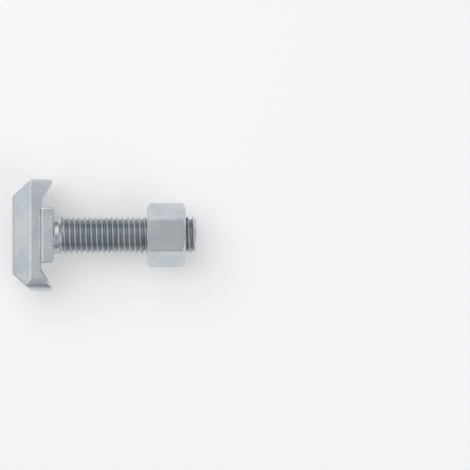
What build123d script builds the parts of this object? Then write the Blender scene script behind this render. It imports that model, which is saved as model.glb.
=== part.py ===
from build123d import *
import os
from math import cos, radians, tan

# T-slot bolt: a forged hammer head with hooked nibs, a square neck and an M12 shank,
# with a hexagon nut run on to its end.
#
# The origin is on the bolt's axis, in the plane of the head's underside. +X runs along the
# axis to the threaded end, +Y along the head's long side, and +Z is up as the bolt lies on
# a table, on a flat of its neck and a flat of its nut. Sizes are in millimetres and angles
# in degrees.

# Shank, threaded nearly all along
thread_diameter = 12.0  # over the crests of the thread
bolt_length = 50.0  # from the head's underside to the end
end_chamfer = 1.05  # at 45 degrees, down to about the thread's root
shank_fillet = 0.4  # round the shank where it leaves the neck

# Hexagon nut
nut_wall = 3.0  # from the crests of the thread out to each flat
nut_across_flats = thread_diameter + 2 * nut_wall
nut_thickness = 12.6
nut_face_inset = 0.2  # from each flat in to the edge of the flat ring on the nut's faces
nut_chamfer_angle = 33.0  # between the chamfer outside that ring and the face
nut_countersink = 0.45  # at 45 degrees, round each end of the bore
nut_clearance = 0.05  # between the crests of the thread and the bore, at the radius
thread_beyond_nut = 3.3  # from the nut's outer face to the end of the bolt

# Square neck, which sits between the lips of the rail
neck_width = nut_across_flats  # so the bolt lies level, on its neck and its nut
neck_length = 4.0

# Nibs at the ends of the head, which hook over the edges of the lips
nib_gap = 2.1  # along the head from the neck to the nib's foot
nib_flank = 5.85  # along the head from the nib's foot to the top of its sloping flank
nib_land = 1.05  # along the head from the top of the flank to the head's end
nib_height = 3.65  # of the top of the flank, above the underside
nib_land_fall = 0.55  # from the top of the flank to the head's end, for a blunt nib

# Hammer head, which lies across the inside of the rail
head_length = neck_width + 2 * (nib_gap + nib_flank + nib_land)
head_width = 12.6
head_thickness = 9.3  # from the front face to the underside
head_bevel_depth = 6.0  # how far back all four front bevels reach
head_end_bevel = 5.5  # taken off each end of the front face
head_side_bevel = 2.8  # taken off each long side of the front face
head_corner_round = 4.3  # on two opposite corners, the leading ones as the nut is tightened

forging_round = 0.5  # on every edge and in every corner of the head and neck


def mirrored_outline(*points):
    """A face from the points on one side of the local X axis and their mirror images."""
    other_side = [(x, -y) for x, y in reversed(points)]
    return make_face(Polyline(*points, *other_side, close=True))


def head_side_profile():
    """The head seen square to its long side: a bevelled front, and a hooked nib at each end."""
    head_end = head_length / 2
    nib_foot = neck_width / 2 + nib_gap
    return mirrored_outline(
        (-head_thickness, head_end - head_end_bevel),
        (head_bevel_depth - head_thickness, head_end),
        (nib_height - nib_land_fall, head_end),
        (nib_height, nib_foot + nib_flank),
        (0, nib_foot),
    )


def head_end_profile():
    """The head seen from one end: bevelled down each long side of the front face."""
    half_width = head_width / 2
    return mirrored_outline(
        (-head_thickness, half_width - head_side_bevel),
        (head_bevel_depth - head_thickness, half_width),
        (nib_height, half_width),
    )


def head_front_outline():
    """The head seen on its front face: an oblong with two opposite corners rounded."""
    outline = Rectangle(head_length, head_width)
    leading_corners = [v for v in outline.vertices() if v.X * v.Y < 0]
    return fillet(leading_corners, head_corner_round)


def make_head():
    """The head's three outlines, each carried right through, and what they have in common."""
    front = Plane.YZ.offset(-head_thickness)
    head = extrude(Plane.XY * head_side_profile(), head_width / 2, both=True)
    head &= extrude(Plane.XZ * head_end_profile(), head_length / 2, both=True)
    head &= extrude(front * head_front_outline(), head_thickness + nib_height)
    return head


def make_neck():
    return extrude(Plane.YZ * Rectangle(neck_width, neck_width), neck_length)


def make_shank():
    shank = extrude(Plane.YZ * Circle(thread_diameter / 2), bolt_length)
    end_edge = shank.edges().sort_by(Axis.X)[-1]
    return chamfer(end_edge, end_chamfer)


def make_bolt():
    """Head and neck with their edges rounded, and the shank standing on the neck."""
    forging = make_head() + make_neck()
    bolt = fillet(forging.edges(), forging_round) + make_shank()
    shank_root = bolt.edges().sort_by_distance((neck_length, 0, 0))[0]
    return fillet(shank_root, shank_fillet)


def make_nut():
    """A hexagon with both faces chamfered and its bore countersunk, lying on a flat."""
    corner_radius = nut_across_flats / 2 / cos(radians(30))
    face_radius = nut_across_flats / 2 - nut_face_inset
    bore_radius = thread_diameter / 2 + nut_clearance
    chamfer_depth = (corner_radius - face_radius) * tan(radians(nut_chamfer_angle))
    turned_profile = Polyline(
        (0, 0),
        (0, face_radius),
        (chamfer_depth, corner_radius),
        (nut_thickness - chamfer_depth, corner_radius),
        (nut_thickness, face_radius),
        (nut_thickness, 0),
        close=True,
    )
    nut = extrude(Plane.YZ * RegularPolygon(corner_radius, 6), nut_thickness)
    nut &= revolve(make_face(turned_profile), Axis.X)
    nut -= extrude(Plane.YZ * Circle(bore_radius), nut_thickness)
    bore_ends = nut.edges().filter_by(GeomType.CIRCLE).sort_by(SortBy.RADIUS)[:2]
    nut = chamfer(bore_ends, nut_countersink)
    return Pos(bolt_length - thread_beyond_nut - nut_thickness, 0, 0) * nut


if __name__ == "__main__":
    os.makedirs("parts", exist_ok=True)
    for name, piece in {"bolt": make_bolt(), "nut": make_nut()}.items():
        print(name, piece.bounding_box(), piece.volume, len(piece.solids()), len(piece.faces()))
        export_step(piece, f"parts/{name}.step")
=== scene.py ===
import bmesh
import bpy
from math import cos, pi, radians, sin, tan
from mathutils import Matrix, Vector, noise


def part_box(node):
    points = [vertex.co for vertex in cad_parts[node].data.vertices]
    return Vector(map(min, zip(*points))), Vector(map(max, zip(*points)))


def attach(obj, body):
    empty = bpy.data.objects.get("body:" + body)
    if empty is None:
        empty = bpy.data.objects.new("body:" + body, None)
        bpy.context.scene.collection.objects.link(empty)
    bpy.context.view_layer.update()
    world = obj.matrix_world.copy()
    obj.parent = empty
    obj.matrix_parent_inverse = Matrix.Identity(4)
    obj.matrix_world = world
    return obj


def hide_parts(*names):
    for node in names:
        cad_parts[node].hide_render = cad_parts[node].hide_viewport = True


# A forged T-slot bolt with its hexagon nut, in bright zinc plate. The bolt lies along +X, on a
# flat of its neck and a flat of its nut. Everything is in metres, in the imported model's frame.

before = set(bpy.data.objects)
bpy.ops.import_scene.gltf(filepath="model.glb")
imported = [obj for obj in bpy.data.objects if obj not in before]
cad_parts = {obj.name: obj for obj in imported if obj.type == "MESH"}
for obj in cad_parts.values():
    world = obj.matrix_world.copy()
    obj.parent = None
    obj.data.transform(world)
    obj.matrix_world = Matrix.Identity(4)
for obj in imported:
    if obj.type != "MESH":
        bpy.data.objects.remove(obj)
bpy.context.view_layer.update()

MM = 0.001
WELD = 0.001 * MM  # points nearer than this are one point

bolt_low, bolt_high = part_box("bolt")
nut_low, nut_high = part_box("nut")

# Thread: metric and right-handed, in step on the bolt and in the nut
PITCH = 1.75 * MM
THREAD_RADIUS = 6.0 * MM  # over the bolt's crests
BOLT_ROOT_RADIUS = THREAD_RADIUS - 0.613 * PITCH  # the standard depth of a bolt's thread
NUT_CREST_RADIUS = THREAD_RADIUS - 0.541 * PITCH  # the standard depth of a nut's thread
THREAD_PLAY = 0.06 * MM  # between the bolt's flanks and the nut's, at the radius
CREST_FLAT = PITCH / 8
FLANK_SLOPE = tan(radians(60))  # radius lost for each step along the axis
ROOT_ROUND = 0.3 * MM
CREST_ROUND = 0.12 * MM
THREAD_ROWS = 32  # for each pitch
THREAD_COLUMNS = 72  # for each turn

# Bolt
NECK_END = 4.0 * MM
NECK_FILLET = 0.4 * MM
RUNOUT_START = 5.5 * MM  # where the first trace of the thread shows
RUNOUT_END = 7.35 * MM  # where the thread is whole
END_CHAMFER = 1.05 * MM
END_EDGE = 0.08 * MM  # soft edge between the chamfer and the end
END_RIM = 0.9 * MM  # flat ring round the hollow in the end
END_HOLLOW = 0.2 * MM  # how deep the rolling leaves the end hollow
FORGING_CELL = 0.8 * MM  # spacing of the cuts across the forging's faces
FORGING_WAVE = 5.5 * MM  # from one swell of a forged face to the next
FORGING_SWELL = 0.035 * MM  # how uneven the forged faces are

# Nut
NUT_CORNER = nut_high.y  # from the axis
NUT_FLAT = nut_high.z  # from the axis
NUT_FACE_RADIUS = NUT_FLAT - 0.2 * MM
NUT_CHAMFER_SLOPE = tan(radians(33))
NUT_SINK_RADIUS = THREAD_RADIUS + 0.5 * MM
NUT_CORNER_ROUND = 0.45 * MM
NUT_CORNER_CUTS = 2  # from the middle of a rounded corner to its edge
NUT_FLAT_CUTS = 10  # from the middle of a flat to its edge
NUT_SIDE_CUTS = (0.3, 0.5, 0.7)  # shares of the way from one face to the other
NUT_EDGE_ROUND = 0.16 * MM
NUT_ROUND_SHARE = 0.35  # the most of the chamfer that a rounded edge may take up

# Photograph and camera
PHOTO_PIXELS = 470
PIXEL = 0.3230 * MM  # the width of one pixel on the object
UNDERSIDE_PIXEL = 41.37  # column of the head's underside
AXIS_PIXEL = 235.1  # row of the bolt's axis
LENS = 1000.0  # in millimetres, long for a view as flat as a drawing
SENSOR = 36.0  # in millimetres


class Signal:
    """A socket of a node tree. Arithmetic on it adds the Math nodes that work it out."""

    def __init__(self, tree, socket=None):
        self.tree = tree
        self.socket = socket

    def node(self, kind, settings=None, inputs=None, output=0):
        """Adds a node of any kind. Its settings come first, then its sockets' values or links."""
        node = self.tree.nodes.new(kind)
        for name, value in (settings or {}).items():
            setattr(node, name, value)
        for name, value in (inputs or {}).items():
            socket = find_socket(node.inputs, name)
            if isinstance(value, Signal):
                self.tree.links.new(value.socket, socket)
            else:
                socket.default_value = value
        return Signal(self.tree, find_socket(node.outputs, output))

    def output(self, name):
        """Another output of the same node."""
        return Signal(self.tree, find_socket(self.socket.node.outputs, name))

    def math(self, operation, *others):
        values = dict(enumerate((self, *others)))
        return self.node("ShaderNodeMath", {"operation": operation}, values)

    def __add__(self, other):
        return self.math("ADD", other)

    def __sub__(self, other):
        return self.math("SUBTRACT", other)

    def __rsub__(self, other):
        return self.math("MULTIPLY_ADD", -1.0, other)

    def __mul__(self, other):
        return self.math("MULTIPLY", other)

    def __truediv__(self, other):
        return self.math("DIVIDE", other)

    def __pow__(self, other):
        return self.math("POWER", other)

    def __abs__(self):
        return self.math("ABSOLUTE")

    __radd__ = __add__
    __rmul__ = __mul__

    def least(self, other, blend=None):
        """The smaller of the two, rounded off over a blend where one is given."""
        if blend is None:
            return self.math("MINIMUM", other)
        return self.math("SMOOTH_MIN", other, blend)

    def most(self, other, blend=None):
        """The larger of the two, rounded off over a blend where one is given."""
        if blend is None:
            return self.math("MAXIMUM", other)
        return self.math("SMOOTH_MAX", other, blend)

    def ramp(self, low, high):
        """Runs smoothly from 0 to 1 as the signal goes from low to high."""
        inputs = {"Value": self, "From Min": low, "From Max": high}
        return self.node("ShaderNodeMapRange", {"interpolation_type": "SMOOTHSTEP"}, inputs)


def find_socket(sockets, name):
    """A node's socket by its number, or the one in use by its name."""
    if isinstance(name, int):
        return sockets[name]
    return next(s for s in sockets if s.name == name and s.enabled)


def new_object(name, mesh):
    piece = bpy.data.objects.new(name, mesh)
    bpy.context.scene.collection.objects.link(piece)
    return piece


# Threads, by Geometry Nodes

def geometry_tree(name, sizes):
    """A tree with a named input for each size and for the material, and the inputs' signals."""
    tree = bpy.data.node_groups.new(name, "GeometryNodeTree")
    tree.interface.new_socket("Geometry", in_out="OUTPUT", socket_type="NodeSocketGeometry")
    for size in sizes:
        tree.interface.new_socket(size, in_out="INPUT", socket_type="NodeSocketFloat")
    tree.interface.new_socket("Material", in_out="INPUT", socket_type="NodeSocketMaterial")
    inputs = tree.nodes.new("NodeGroupInput").outputs
    return tree, {name: Signal(tree, inputs[name]) for name in (*sizes, "Material")}


def run_tree(tree, values):
    """The plain mesh that the tree makes with those values."""
    carrier = new_object(tree.name, bpy.data.meshes.new(tree.name))
    modifier = carrier.modifiers.new("make", "NODES")
    modifier.node_group = tree
    for item in tree.interface.items_tree:
        if item.in_out == "INPUT":
            modifier[item.identifier] = values[item.name]
    evaluated = carrier.evaluated_get(bpy.context.evaluated_depsgraph_get())
    mesh = bpy.data.meshes.new_from_object(evaluated)
    bpy.data.objects.remove(carrier)
    return mesh


def thread_grid(tree, given):
    """A flat grid with a row for each step of the helix and a column for each step round it.

    Gives the grid, the place of its points along the axis, and their turn, from 0 to 1. Rows
    that would reach past the start or the end lie on it.
    """
    pitches = (given["End"] - given["Start"]) / given["Pitch"] + 1.0
    rows = (pitches * THREAD_ROWS).math("CEIL")
    grid = rows.node("GeometryNodeMeshGrid", None, {
        "Size X": rows,
        "Size Y": THREAD_COLUMNS,
        "Vertices X": rows + 1.0,
        "Vertices Y": THREAD_COLUMNS + 1,
    })
    place = rows.node("ShaderNodeSeparateXYZ", None, {0: rows.node("GeometryNodeInputPosition")})
    turn = place.output("Y") / THREAD_COLUMNS + 0.5
    row = place.output("X") + rows * 0.5
    along = given["Start"] + (row / THREAD_ROWS + turn - 1.0) * given["Pitch"]
    return grid, along.most(given["Start"]).least(given["End"]), turn


def thread_radius(along, turn, given):
    """The radius of a 60-degree thread, with a flat crest and a rounded root."""
    from_crest = abs((along / given["Pitch"] - turn).math("WRAP", 0.5, -0.5)) * given["Pitch"]
    flank = given["Flank Radius"] - (from_crest - CREST_FLAT / 2) * FLANK_SLOPE
    cut = flank.most(given["Inner Radius"], ROOT_ROUND)
    return cut.least(given["Outer Radius"], CREST_ROUND)


def rolled_up(grid, along, turn, radius, material):
    """Puts the grid's points round the axis, welds the seam and ends the tree."""
    angle = turn * (2 * pi)
    place = angle.node("ShaderNodeCombineXYZ", None, {
        "X": along,
        "Y": radius * angle.math("COSINE"),
        "Z": radius * angle.math("SINE"),
    })
    mesh = grid.node("GeometryNodeSetPosition", None, {"Geometry": grid, "Position": place})
    weld = {"Geometry": mesh, "Distance": WELD}
    mesh = grid.node("GeometryNodeMergeByDistance", None, weld)
    mesh = grid.node("GeometryNodeRealizeInstances", None, {"Geometry": mesh})
    finish = {"Geometry": mesh, "Material": material}
    mesh = grid.node("GeometryNodeSetMaterial", None, finish)
    group_output = grid.tree.nodes.new("NodeGroupOutput")
    grid.tree.links.new(mesh.socket, group_output.inputs["Geometry"])


def threaded_shank(material):
    """From the neck to the end: a fillet, a plain stretch, the run-out, the thread, a chamfer."""
    values = {
        "Start": NECK_END,
        "End": bolt_high.x,
        "Pitch": PITCH,
        "Flank Radius": THREAD_RADIUS,
        "Outer Radius": THREAD_RADIUS,
        "Inner Radius": BOLT_ROOT_RADIUS,
        "Runout Start": RUNOUT_START,
        "Runout End": RUNOUT_END,
        "Neck Fillet": NECK_FILLET,
        "End Chamfer": END_CHAMFER,
    }
    tree, given = geometry_tree("threaded_shank", values)
    grid, along, turn = thread_grid(tree, given)
    outer, fillet = given["Outer Radius"], given["Neck Fillet"]
    runout = (along - given["Runout Start"]) / (given["Runout End"] - given["Runout Start"])
    washed_out = outer - runout.most(0.0) * (outer - given["Inner Radius"])
    chamfer = outer - given["End Chamfer"] + (given["End"] - along)
    into_fillet = (given["Start"] + fillet - along).most(0.0)
    flare = fillet - (fillet ** 2.0 - into_fillet ** 2.0).most(0.0).math("SQRT")
    radius = thread_radius(along, turn, given).most(washed_out).least(chamfer) + flare
    rolled_up(grid, along, turn, radius, given["Material"])
    return run_tree(tree, {**values, "Material": material})


def threaded_bore(material):
    """The inside of the nut, from face to face, with its thread and a countersink at each end."""
    values = {
        "Start": nut_low.x,
        "End": nut_high.x,
        "Pitch": PITCH,
        "Flank Radius": THREAD_RADIUS + THREAD_PLAY,
        "Outer Radius": THREAD_RADIUS + THREAD_PLAY,
        "Inner Radius": NUT_CREST_RADIUS,
        "Countersink Radius": NUT_SINK_RADIUS,
    }
    tree, given = geometry_tree("threaded_bore", values)
    grid, along, turn = thread_grid(tree, given)
    into_nut = (along - given["Start"]).least(given["End"] - along)
    countersink = given["Countersink Radius"] - into_nut
    radius = thread_radius(along, turn, given).most(countersink)
    rolled_up(grid, along, turn, radius, given["Material"])
    return run_tree(tree, {**values, "Material": material})


# Meshes

def lies_at(x, edge):
    return all(abs(v.co.x - x) < WELD for v in edge.verts)


def close_flat(bm, x):
    """Fills the flat between the open edges that lie at x."""
    rims = [e for e in bm.edges if e.is_boundary and lies_at(x, e)]
    bmesh.ops.triangle_fill(bm, edges=rims, use_beauty=True, normal=(1, 0, 0))


def mark_bends(bm, spread=3):
    """Stores how far each point's surface bends: above 0 on an edge, below 0 in a corner."""
    layer = bm.verts.layers.float.new("bend")
    for v in bm.verts:
        angles = [e.calc_face_angle_signed(0.0) for e in v.link_edges]
        v[layer] = sum(angles) / len(angles)
    for _ in range(spread):
        around = [sum(e.other_vert(v)[layer] for e in v.link_edges) / len(v.link_edges)
                  for v in bm.verts]
        for v, value in zip(bm.verts, around):
            v[layer] = 0.5 * (v[layer] + value)


def finished_piece(name, bm, material):
    """A smooth-shaded object from the mesh, whose flats stay flat beside rounded edges."""
    bmesh.ops.recalc_face_normals(bm, faces=bm.faces)
    mesh = bpy.data.meshes.new(name)
    bm.to_mesh(mesh)
    bm.free()
    mesh.materials.clear()
    mesh.materials.append(material)
    mesh.shade_smooth()
    piece = new_object(name, mesh)
    piece.modifiers.new("normals", "WEIGHTED_NORMAL")
    return piece


# Bolt

def cut_in_cells(bm):
    """Cuts the faces along a lattice, so that they have points to move and to carry wear."""
    low, high = bolt_low, Vector((NECK_END, bolt_high.y, bolt_high.z))
    for axis in range(3):
        span = high[axis] - low[axis]
        cells = round(span / FORGING_CELL)
        normal = Vector([float(axis == i) for i in range(3)])
        for cell in range(1, cells):
            place = normal * (low[axis] + span * cell / cells)
            everything = [*bm.verts, *bm.edges, *bm.faces]
            bmesh.ops.bisect_plane(bm, geom=everything, dist=WELD, plane_co=place, plane_no=normal)


def swell(bm):
    """Sinks the forged faces by a hair, more in some places than in others."""
    bm.normal_update()
    for v in bm.verts:
        hollow = 0.5 - 0.5 * noise.noise(v.co / FORGING_WAVE)
        held = min(1.0, (NECK_END - v.co.x) / FORGING_CELL)
        v.co -= v.normal * FORGING_SWELL * hollow * held


def forging():
    """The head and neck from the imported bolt, open where the shank leaves the neck."""
    bm = bmesh.new()
    bm.from_mesh(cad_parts["bolt"].data)
    bmesh.ops.remove_doubles(bm, verts=bm.verts, dist=WELD)
    shank = [f for f in bm.faces if min(v.co.x for v in f.verts) > NECK_END - WELD]
    bmesh.ops.delete(bm, geom=shank, context="FACES")
    bmesh.ops.dissolve_limit(bm, angle_limit=radians(0.5), verts=bm.verts, edges=bm.edges)
    cut_in_cells(bm)
    bmesh.ops.dissolve_degenerate(bm, dist=10 * WELD, edges=bm.edges)
    swell(bm)
    mark_bends(bm)
    return bm


def hollow_end(bm):
    """Closes the shank's end with a flat rim round a shallow hollow."""
    rim = [e for e in bm.edges if e.is_boundary and lies_at(bolt_high.x, e)]
    disc = bmesh.ops.holes_fill(bm, edges=rim)["faces"]
    for width, depth in ((END_EDGE, 0), (END_RIM, 0), (END_RIM, END_HOLLOW)):
        bmesh.ops.inset_region(bm, faces=disc, thickness=width, depth=depth)


def make_bolt(material):
    bm = forging()
    bm.from_mesh(threaded_shank(material))
    close_flat(bm, NECK_END)
    hollow_end(bm)
    return finished_piece("bolt_body", bm, material)


# Nut

def direction(angle):
    return Vector((0, cos(angle), sin(angle)))


def hexagon_outline():
    """Points round a hexagon with rounded corners, seen along the axis."""
    points = []
    corner_centre = NUT_CORNER - NUT_CORNER_ROUND / cos(radians(30))
    half_flat = (NUT_FLAT - NUT_CORNER_ROUND) * tan(radians(30))
    for side in range(6):
        corner = radians(60 * side)
        flat = corner + radians(30)
        for step in range(-NUT_CORNER_CUTS, NUT_CORNER_CUTS + 1):
            turn = radians(30 * step / NUT_CORNER_CUTS)
            points.append(direction(corner) * corner_centre
                          + direction(corner + turn) * NUT_CORNER_ROUND)
        for step in range(1 - NUT_FLAT_CUTS, NUT_FLAT_CUTS):
            points.append(direction(flat) * NUT_FLAT
                          + direction(flat + radians(90)) * half_flat * step / NUT_FLAT_CUTS)
    return points


def rounded_edge(before, edge, after):
    """Three points that round off an edge between a point before it and one after it."""
    return [before, (before + after) / 4 + edge / 2, after]


def nut_section(reach):
    """From one face to the other through a point that far from the axis: (radius, x) pairs."""
    cone = reach - NUT_FACE_RADIUS
    rounding = min(NUT_EDGE_ROUND, NUT_ROUND_SHARE * cone)

    def on_cone(radius):
        return Vector((radius, (radius - NUT_FACE_RADIUS) * NUT_CHAMFER_SLOPE))

    inner_edge, outer_edge = on_cone(NUT_FACE_RADIUS), on_cone(reach)
    on_face, on_flat = inner_edge - Vector((rounding, 0)), outer_edge + Vector((0, rounding))
    half = [
        *rounded_edge(on_face, inner_edge, on_cone(NUT_FACE_RADIUS + rounding)),
        *rounded_edge(on_cone(reach - rounding), outer_edge, on_flat),
    ]
    width = nut_high.x - nut_low.x
    side = [Vector((reach, width * share)) for share in NUT_SIDE_CUTS]
    other_half = [Vector((radius, width - depth)) for radius, depth in reversed(half)]
    return half + side + other_half


def nut_body():
    """The hexagon with its chamfered faces, open where the flat rings go round the bore."""
    bm = bmesh.new()
    rows = []
    for point in hexagon_outline():
        section = nut_section(point.length)
        rows.append([bm.verts.new(point.normalized() * radius + Vector((nut_low.x + depth, 0, 0)))
                     for radius, depth in section])
    for row, next_row in zip(rows, rows[1:] + rows[:1]):
        for corners in zip(row, row[1:], next_row[1:], next_row):
            bm.faces.new(corners)
    mark_bends(bm, spread=1)
    return bm


def make_nut(material):
    bm = nut_body()
    bm.from_mesh(threaded_bore(material))
    close_flat(bm, nut_low.x)
    close_flat(bm, nut_high.x)
    return finished_piece("nut_body", bm, material)


# Finishes

def plated_steel(name):
    """A new material, its shader and the signal that starts its tree."""
    material = bpy.data.materials.new(name)
    material.use_nodes = True
    tree = material.node_tree
    return material, tree.nodes["Principled BSDF"], Signal(tree)


def grain(place, size, detail=2.0):
    """Noise whose blotches are about as large as size."""
    inputs = {"Vector": place, "Scale": 1.0 / size, "Detail": detail}
    return place.node("ShaderNodeTexNoise", None, inputs)


def blend(share, first, second):
    """A colour between two others."""
    inputs = {"Factor": share, "A": first, "B": second}
    return share.node("ShaderNodeMix", {"data_type": "RGBA"}, inputs, "Result")


def worn_edges(bend, pits, gain, start):
    """Where handling has rubbed the edges bright, in patches."""
    return (bend * gain + pits - start).ramp(0.0, 0.5)


def paint(shader, colour, roughness, height):
    """Feeds a plated surface's colour, roughness and height, in metres, to its shader."""
    shader.inputs["Metallic"].default_value = 1.0
    tree = colour.tree
    tree.links.new(colour.socket, shader.inputs["Base Color"])
    tree.links.new(roughness.socket, shader.inputs["Roughness"])
    bump = height.node("ShaderNodeBump", None, {"Height": height, "Distance": 1.0})
    tree.links.new(bump.socket, shader.inputs["Normal"])


ZINC = (0.66, 0.68, 0.70, 1)
ZINC_FILM = (0.54, 0.59, 0.65, 1)  # where the blue passivation is thicker
ZINC_WORN = (0.78, 0.78, 0.77, 1)
# painted shade: dark zinc mixed into concave corners, thread roots and the nut's bore
ZINC_PAINTED_SHADE = (0.22, 0.23, 0.24, 1)
FILM_EDGE = (0.38, 0.62)  # noise values between which clear zinc turns into film

FORGED_FILM_SIZE = 7 * MM  # of the film's cloudy patches on the bolt
FORGED_PIT_SIZE = 1.3 * MM
FORGED_PIT_DEPTH = 0.05 * MM
ROLLED_SMOOTHER = 0.85  # how much of the pits' depth rolling takes off the shank
DUST_SIZE = 0.22 * MM
DUST_DEPTH = 0.004 * MM
ROOT_SHADE_DEPTH = 0.3 * MM  # below the crests, where the painted shade in the thread's roots starts

FORMED_FILM_SIZE = 6 * MM  # of the film's cloudy patches on the nut
FORMED_PIT_SIZE = 0.9 * MM
FORMED_PIT_DEPTH = 0.016 * MM
DRAW_LINE_SIZE = 0.14 * MM  # across the fine lines that drawing leaves along the bar
DRAW_LINE_DEPTH = 0.004 * MM
DRAW_LINE_SHRINK = (0.06, 1, 1)  # of the noise's place, so that it runs long along the axis


def bolt_finish():
    material, shader, start = plated_steel("forged_zinc_plate")
    place = start.node("ShaderNodeTexCoord", output="Object")
    axes = place.node("ShaderNodeSeparateXYZ", None, {0: place})
    radius = (axes.output("Y") ** 2.0 + axes.output("Z") ** 2.0).math("SQRT")
    shank = axes.output("X").ramp(NECK_END, NECK_END + NECK_FILLET)
    bend = start.node("ShaderNodeAttribute", {"attribute_name": "bend"}, None, "Fac")
    film = grain(place, FORGED_FILM_SIZE, 3.0).ramp(*FILM_EDGE)
    pits = grain(place, FORGED_PIT_SIZE, 4.0)
    dust = grain(place, DUST_SIZE, 2.0)
    worn = worn_edges(bend, pits, 9.0, 0.75)
    end = axes.output("X").ramp(bolt_high.x - 2 * END_HOLLOW, bolt_high.x - END_HOLLOW)
    # Painted shade: the zinc is darkened in the thread's roots and in the forging's concave
    # corners, where shade falls; the corner mask also raises roughness
    root = 1.0 - radius.ramp(BOLT_ROOT_RADIUS, THREAD_RADIUS - ROOT_SHADE_DEPTH)
    root = root * shank * (1.0 - end)
    painted_recess_shade = (bend * -9.0 + pits * 0.4 - 0.3).ramp(0.0, 0.8).most(root * 0.7)
    colour = blend(film * 0.8, ZINC, ZINC_FILM)
    colour = blend(painted_recess_shade * 0.8, colour, ZINC_PAINTED_SHADE)
    colour = blend(worn * 0.8, colour, ZINC_WORN)
    roughness = 0.30 + pits * 0.16 + painted_recess_shade * 0.15 - worn * 0.10 - shank * 0.06
    height = pits * FORGED_PIT_DEPTH * (1.0 - shank * ROLLED_SMOOTHER) + dust * DUST_DEPTH
    paint(shader, colour, roughness, height)
    return material


def nut_finish():
    material, shader, start = plated_steel("formed_zinc_plate")
    place = start.node("ShaderNodeTexCoord", output="Object")
    axes = place.node("ShaderNodeSeparateXYZ", None, {0: place})
    radius = (axes.output("Y") ** 2.0 + axes.output("Z") ** 2.0).math("SQRT")
    bend = start.node("ShaderNodeAttribute", {"attribute_name": "bend"}, None, "Fac")
    film = grain(place, FORMED_FILM_SIZE, 3.0).ramp(*FILM_EDGE)
    pits = grain(place, FORMED_PIT_SIZE, 3.0)
    shrink = {0: place, 1: DRAW_LINE_SHRINK}
    drawn = place.node("ShaderNodeVectorMath", {"operation": "MULTIPLY"}, shrink)
    lines = grain(drawn, DRAW_LINE_SIZE, 2.0)
    worn = worn_edges(bend, pits, 6.0, 0.8)
    # Painted shade: the zinc is darkened inside the bore, where shade falls; the same mask also
    # raises roughness there
    bore = 1.0 - radius.ramp(THREAD_RADIUS - 0.5 * MM, THREAD_RADIUS + 0.3 * MM)
    colour = blend(film * 0.7, ZINC, ZINC_FILM)
    colour = blend(bore * 0.8, colour, ZINC_PAINTED_SHADE)
    colour = blend(worn * 0.8, colour, ZINC_WORN)
    roughness = 0.24 + pits * 0.14 + lines * 0.06 - worn * 0.08 + bore * 0.1
    height = pits * FORMED_PIT_DEPTH + lines * DRAW_LINE_DEPTH
    paint(shader, colour, roughness, height)
    return material


# Studio

SKY_TOP = (0.36, 0.37, 0.38, 1)
SKY_SIDE = (0.56, 0.57, 0.58, 1)
SKY_RIM = (0.13, 0.14, 0.15, 1)
SKY_RISE = (0.10, 0.75)  # from the rim's tone to the side's: 0 is level and 1 is overhead
SKY_FALL = (0.80, 0.98)  # from the side's tone to the top's
FLOOR_REACH = 3.0  # each way from the middle
FLOOR_GLOW = 0.21  # of the floor itself, as a lit table has
CONTACT = 0.2 * MM  # what is nearer to the floor than this rests on it


def floor_finish():
    """Pale lit paper that is there from above, and not from below or for what lies on it."""
    material = bpy.data.materials.new("pale_paper")
    material.use_nodes = True
    tree = material.node_tree
    shader = tree.nodes["Principled BSDF"]
    shader.inputs["Base Color"].default_value = (0.95, 0.95, 0.95, 1)
    shader.inputs["Roughness"].default_value = 0.9
    shader.inputs["Specular IOR Level"].default_value = 0.2
    shader.inputs["Emission Strength"].default_value = FLOOR_GLOW
    start = Signal(tree)
    behind = start.node("ShaderNodeNewGeometry", output="Backfacing")
    distance = start.node("ShaderNodeLightPath", output="Ray Length")
    touching = distance.math("LESS_THAN", CONTACT)
    clear = start.node("ShaderNodeBsdfTransparent")
    surface = start.node("ShaderNodeMixShader", None, {
        0: behind.most(touching),
        1: Signal(tree, shader.outputs[0]),
        2: clear,
    })
    tree.links.new(surface.socket, tree.nodes["Material Output"].inputs["Surface"])
    return material


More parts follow.
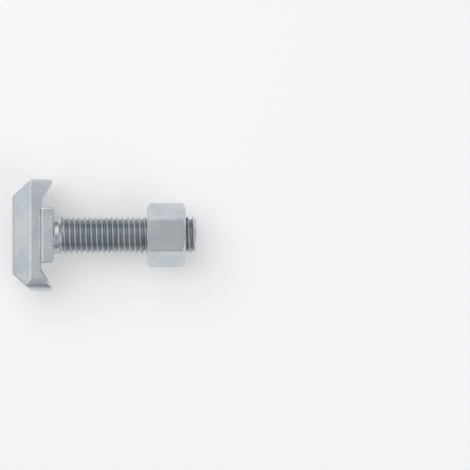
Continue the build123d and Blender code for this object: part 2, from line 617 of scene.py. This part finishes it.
def make_floor():
    bm = bmesh.new()
    bmesh.ops.create_grid(bm, x_segments=1, y_segments=1, size=FLOOR_REACH)
    bmesh.ops.translate(bm, verts=bm.verts, vec=(0, 0, bolt_low.z))
    mesh = bpy.data.meshes.new("floor")
    bm.to_mesh(mesh)
    bm.free()
    mesh.materials.append(floor_finish())
    new_object("floor", mesh)


def add_softbox(name, place, size, power):
    """A square light that faces the middle of the bolt."""
    light = bpy.data.lights.new(name, "AREA")
    light.shape = "SQUARE"
    light.size = size
    light.energy = power
    lamp = new_object(name, light)
    middle = (bolt_low + bolt_high) / 2
    lamp.location = middle + Vector(place)
    lamp.rotation_euler = (middle - lamp.location).to_track_quat("-Z", "Y").to_euler()


def light_studio():
    add_softbox("key_softbox", place=(-0.25, 0.25, 0.42), size=0.72, power=1.4)
    add_softbox("fill_softbox", place=(0.40, -0.22, 0.28), size=0.45, power=0.5)
    world = bpy.data.worlds.new("studio")
    world.use_nodes = True
    tree = world.node_tree
    start = Signal(tree)
    sky_place = start.node("ShaderNodeTexCoord", None, None, "Generated")
    height = abs(start.node("ShaderNodeSeparateXYZ", None, {0: sky_place}, "Z"))
    sky = blend(height.ramp(*SKY_RISE), SKY_RIM, SKY_SIDE)
    sky = blend(height.ramp(*SKY_FALL), sky, SKY_TOP)
    tree.links.new(sky.socket, tree.nodes["Background"].inputs["Color"])
    bpy.context.scene.world = world
    bpy.context.scene.view_settings.view_transform = "Standard"


def place_camera():
    """Straight above the axis, so far off that the view is as flat as a drawing."""
    camera = bpy.data.cameras.new("camera")
    camera.lens = LENS
    camera.sensor_width = SENSOR
    middle = PHOTO_PIXELS / 2  # row and column of the picture's middle
    distance = PHOTO_PIXELS * PIXEL * LENS / SENSOR
    viewer = new_object("camera", camera)
    viewer.location = ((middle - UNDERSIDE_PIXEL) * PIXEL, (AXIS_PIXEL - middle) * PIXEL, distance)
    camera.clip_end = 2 * distance
    bpy.context.scene.camera = viewer


bolt = make_bolt(bolt_finish())
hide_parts("bolt")
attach(bolt, "bolt")

nut = make_nut(nut_finish())
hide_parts("nut")
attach(nut, "nut")

make_floor()
light_studio()
place_camera()
